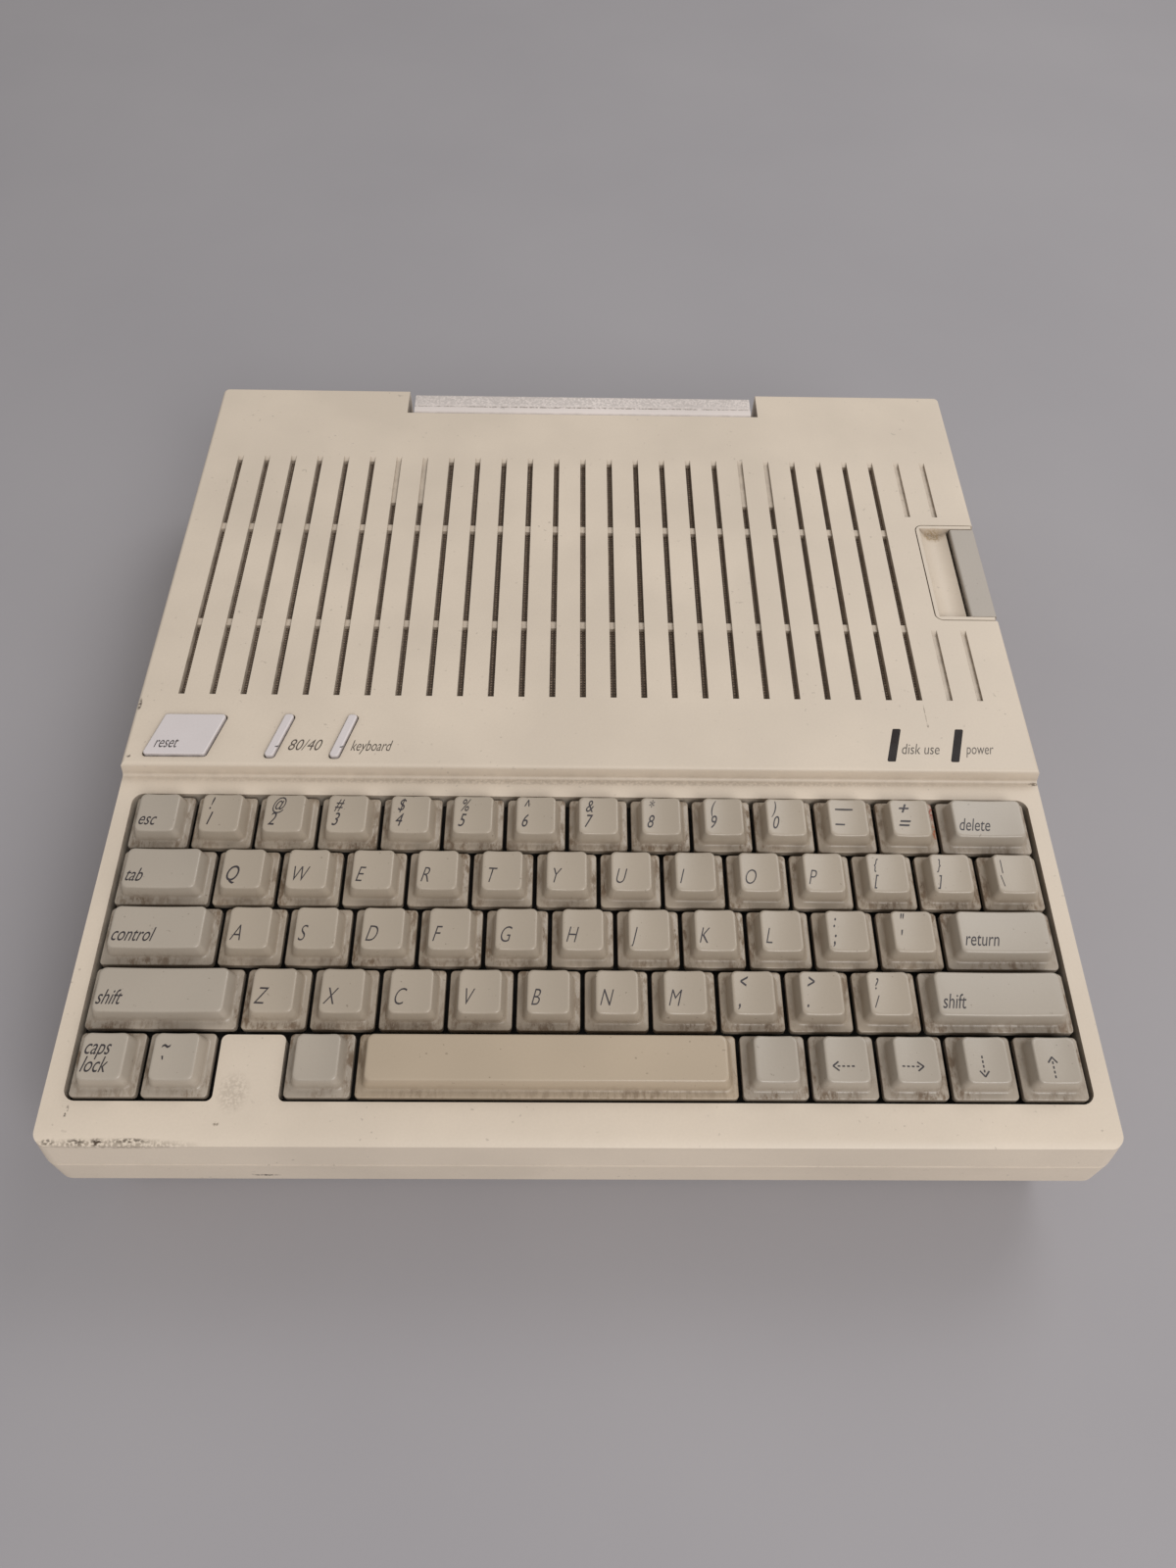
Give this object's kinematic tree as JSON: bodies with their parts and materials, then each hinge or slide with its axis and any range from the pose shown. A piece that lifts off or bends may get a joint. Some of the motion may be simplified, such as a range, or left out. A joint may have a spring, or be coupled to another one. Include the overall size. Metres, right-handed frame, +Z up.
{
  "type": "vintage home computer",
  "caption": "Portable home computer of the early 1980s: wedge-stepped case with sunken full keyboard, vented top, side disk drive with flip lever, and a swing-down rear carry handle.",
  "frame": {"origin": "middle of the footprint, on the surface that the feet stand on", "axes": "+X towards the user's right, +Y towards the rear, +Z up"},
  "size_m": [0.2922, 0.3048, 0.0646],
  "materials": {
    "case": "fine texture, slightly yellowed",
    "handle": "smooth",
    "lever": "fine texture",
    "key_light": "worn satin",
    "key_dark": "worn satin",
    "key_space": "yellowed satin",
    "white_button": "smooth",
    "window": "polished",
    "mesh": "woven",
    "foot_rubber": "matte",
    "plate": "plated sheet",
    "spring_steel": "wire",
    "switch_black": "moulded",
    "board": "laminate with solder mask",
    "cable": "flat cable",
    "lamp_red": "clear red",
    "cast": "die cast",
    "steel": "ground",
    "motor_can": "plated can",
    "cone_plastic": "moulded",
    "chip": "moulded",
    "port": "plated shells",
    "brass_jack": "plated",
    "speaker_black": "paper and can",
    "screw_steel": "plated"
  },
  "bodies": {
    "case": {"top_case": "case", "bottom_case": "case", "lever_recess": "case", "rubber_feet": "foot_rubber", "lamp_windows": "window", "vent_mesh": "mesh", "keyboard_plate": "plate", "key_switch_housings": "switch_black", "key_springs": "spring_steel", "keyboard_board": "board", "keyboard_cable": "cable", "switch_board": "board", "lamps": "lamp_red", "drive_frame": "cast", "spindle_motor": "board", "guide_rods": "steel", "stepper_motor": "motor_can", "drive_board": "board", "main_board": "board", "board_chips": "chip", "connectors": "port", "video_jack": "brass_jack", "power_switch": "switch_black", "power_converter": "motor_can", "speaker": "speaker_black", "volume_control": "motor_can", "phone_jack": "switch_black", "screws": "screw_steel"},
    "caps_lock_key": {"caps_lock_key": "key_dark"},
    "grave_key": {"grave_key": "key_dark"},
    "option_left_key": {"option_left_key": "key_dark"},
    "space_bar": {"space_bar": "key_space"},
    "option_right_key": {"option_right_key": "key_dark"},
    "arrow_left_key": {"arrow_left_key": "key_dark"},
    "arrow_right_key": {"arrow_right_key": "key_dark"},
    "arrow_down_key": {"arrow_down_key": "key_dark"},
    "arrow_up_key": {"arrow_up_key": "key_dark"},
    "shift_left_key": {"shift_left_key": "key_dark"},
    "shift_right_key": {"shift_right_key": "key_dark"},
    "control_key": {"control_key": "key_dark"},
    "return_key": {"return_key": "key_dark"},
    "tab_key": {"tab_key": "key_dark"},
    "escape_key": {"escape_key": "key_dark"},
    "delete_key": {"delete_key": "key_dark"},
    "bottom_letter_keys": {"bottom_letter_keys": "key_light"},
    "home_letter_keys": {"home_letter_keys": "key_light"},
    "top_letter_keys": {"top_letter_keys": "key_light"},
    "number_keys": {"number_keys": "key_light"},
    "reset_button": {"reset_button": "white_button"},
    "column_switch_button": {"column_switch_button": "white_button"},
    "layout_switch_button": {"layout_switch_button": "white_button"},
    "carry_handle": {"carry_handle": "handle"},
    "drive_lever": {"drive_lever": "lever"},
    "clamp_arm": {"clamp_arm": "plate"},
    "clamp_cone": {"clamp_cone": "cone_plastic"},
    "spindle": {"spindle": "steel"},
    "head_carriage": {"head_carriage": "cast"},
    "lead_screw": {"lead_screw": "steel"},
    "power_rocker": {"power_rocker": "switch_black"},
    "volume_wheel": {"volume_wheel": "switch_black"}
  },
  "joints": [
    {"name": "caps_lock_press", "type": "slide", "parent": "case", "child": "caps_lock_key", "axis": [0, -0.0466, 0.9989], "range_m": [-0.0035, 0], "stiffness_N_per_m": 120, "springref_m": 0.003},
    {"name": "grave_press", "type": "slide", "parent": "case", "child": "grave_key", "axis": [0, -0.0466, 0.9989], "range_m": [-0.0035, 0], "stiffness_N_per_m": 120, "springref_m": 0.003},
    {"name": "option_left_press", "type": "slide", "parent": "case", "child": "option_left_key", "axis": [0, -0.0466, 0.9989], "range_m": [-0.0035, 0], "stiffness_N_per_m": 120, "springref_m": 0.003},
    {"name": "space_press", "type": "slide", "parent": "case", "child": "space_bar", "axis": [0, -0.0466, 0.9989], "range_m": [-0.0035, 0], "stiffness_N_per_m": 254.6, "springref_m": 0.003, "deforming": ["key_springs"]},
    {"name": "option_right_press", "type": "slide", "parent": "case", "child": "option_right_key", "axis": [0, -0.0466, 0.9989], "range_m": [-0.0035, 0], "stiffness_N_per_m": 120, "springref_m": 0.003},
    {"name": "arrow_left_press", "type": "slide", "parent": "case", "child": "arrow_left_key", "axis": [0, -0.0466, 0.9989], "range_m": [-0.0035, 0], "stiffness_N_per_m": 120, "springref_m": 0.003},
    {"name": "arrow_right_press", "type": "slide", "parent": "case", "child": "arrow_right_key", "axis": [0, -0.0466, 0.9989], "range_m": [-0.0035, 0], "stiffness_N_per_m": 120, "springref_m": 0.003},
    {"name": "arrow_down_press", "type": "slide", "parent": "case", "child": "arrow_down_key", "axis": [0, -0.0466, 0.9989], "range_m": [-0.0035, 0], "stiffness_N_per_m": 120, "springref_m": 0.003},
    {"name": "arrow_up_press", "type": "slide", "parent": "case", "child": "arrow_up_key", "axis": [0, -0.0466, 0.9989], "range_m": [-0.0035, 0], "stiffness_N_per_m": 120, "springref_m": 0.003},
    {"name": "shift_left_press", "type": "slide", "parent": "case", "child": "shift_left_key", "axis": [0, -0.0466, 0.9989], "range_m": [-0.0035, 0], "stiffness_N_per_m": 169.7, "springref_m": 0.003},
    {"name": "shift_right_press", "type": "slide", "parent": "case", "child": "shift_right_key", "axis": [0, -0.0466, 0.9989], "range_m": [-0.0035, 0], "stiffness_N_per_m": 169.7, "springref_m": 0.003},
    {"name": "control_press", "type": "slide", "parent": "case", "child": "control_key", "axis": [0, -0.0466, 0.9989], "range_m": [-0.0035, 0], "stiffness_N_per_m": 142, "springref_m": 0.003},
    {"name": "return_press", "type": "slide", "parent": "case", "child": "return_key", "axis": [0, -0.0466, 0.9989], "range_m": [-0.0035, 0], "stiffness_N_per_m": 142, "springref_m": 0.003},
    {"name": "tab_press", "type": "slide", "parent": "case", "child": "tab_key", "axis": [0, -0.0466, 0.9989], "range_m": [-0.0035, 0], "stiffness_N_per_m": 142, "springref_m": 0.003},
    {"name": "escape_press", "type": "slide", "parent": "case", "child": "escape_key", "axis": [0, -0.0466, 0.9989], "range_m": [-0.0035, 0], "stiffness_N_per_m": 120, "springref_m": 0.003},
    {"name": "delete_press", "type": "slide", "parent": "case", "child": "delete_key", "axis": [0, -0.0466, 0.9989], "range_m": [-0.0035, 0], "stiffness_N_per_m": 142, "springref_m": 0.003},
    {"name": "bottom_letter_press", "type": "slide", "parent": "case", "child": "bottom_letter_keys", "axis": [0, -0.0466, 0.9989], "range_m": [-0.0035, 0], "stiffness_N_per_m": 1200, "springref_m": 0.003},
    {"name": "home_letter_press", "type": "slide", "parent": "case", "child": "home_letter_keys", "axis": [0, -0.0466, 0.9989], "range_m": [-0.0035, 0], "stiffness_N_per_m": 1320, "springref_m": 0.003},
    {"name": "top_letter_press", "type": "slide", "parent": "case", "child": "top_letter_keys", "axis": [0, -0.0466, 0.9989], "range_m": [-0.0035, 0], "stiffness_N_per_m": 1560, "springref_m": 0.003},
    {"name": "number_press", "type": "slide", "parent": "case", "child": "number_keys", "axis": [0, -0.0466, 0.9989], "range_m": [-0.0035, 0], "stiffness_N_per_m": 1440, "springref_m": 0.003},
    {"name": "reset_press", "type": "slide", "parent": "case", "child": "reset_button", "axis": [0, 0, 1], "range_m": [-0.002, 0], "stiffness_N_per_m": 300, "springref_m": 0.002},
    {"name": "column_switch_press", "type": "slide", "parent": "case", "child": "column_switch_button", "axis": [0, 0, 1], "range_m": [-0.002, 0]},
    {"name": "layout_switch_press", "type": "slide", "parent": "case", "child": "layout_switch_button", "axis": [0, 0, 1], "range_m": [-0.002, 0]},
    {"name": "handle_swing", "type": "hinge", "parent": "case", "child": "carry_handle", "pos_m": [0, 0.1445, 0.014], "axis": [1, 0, 0], "range_deg": [-165, 0]},
    {"name": "lever_turn", "type": "hinge", "parent": "case", "child": "drive_lever", "pos_m": [0.1359, 0.0515, 0.0619], "axis": [0, 1, 0], "range_deg": [-70, 0]},
    {"name": "clamp_arm_lift", "type": "hinge", "parent": "case", "child": "clamp_arm", "pos_m": [-0.02795, 0.0515, 0.0495], "axis": [0, 1, 0], "range_deg": [-3.5, 0]},
    {"name": "clamp_cone_spin", "type": "hinge", "parent": "clamp_arm", "child": "clamp_cone", "pos_m": [0.07005, 0.0515, 0.045], "axis": [0, 0, 1], "continuous": true},
    {"name": "spindle_spin", "type": "hinge", "parent": "case", "child": "spindle", "pos_m": [0.07005, 0.0515, 0.035], "axis": [0, 0, 1], "continuous": true},
    {"name": "head_step", "type": "slide", "parent": "case", "child": "head_carriage", "axis": [1, 0, 0], "range_m": [0, 0.0185]},
    {"name": "lead_screw_turn", "type": "hinge", "parent": "case", "child": "lead_screw", "pos_m": [0, 0.0515, 0.029], "axis": [1, 0, 0], "range_deg": [0, 525]},
    {"name": "power_rocker_tilt", "type": "hinge", "parent": "case", "child": "power_rocker", "pos_m": [-0.126, 0.1434, 0.02], "axis": [1, 0, 0], "range_deg": [-18, 0]},
    {"name": "volume_turn", "type": "hinge", "parent": "case", "child": "volume_wheel", "pos_m": [-0.13375, -0.0974, 0.03175], "axis": [0, 0, 1], "range_deg": [0, 270]}
  ],
  "couplings": [
    {"joint": "clamp_arm_lift", "follows": "lever_turn", "ratio": 0.05},
    {"joint": "lead_screw_turn", "follows": "head_step", "rad_per_m": 494.74}
  ]
}
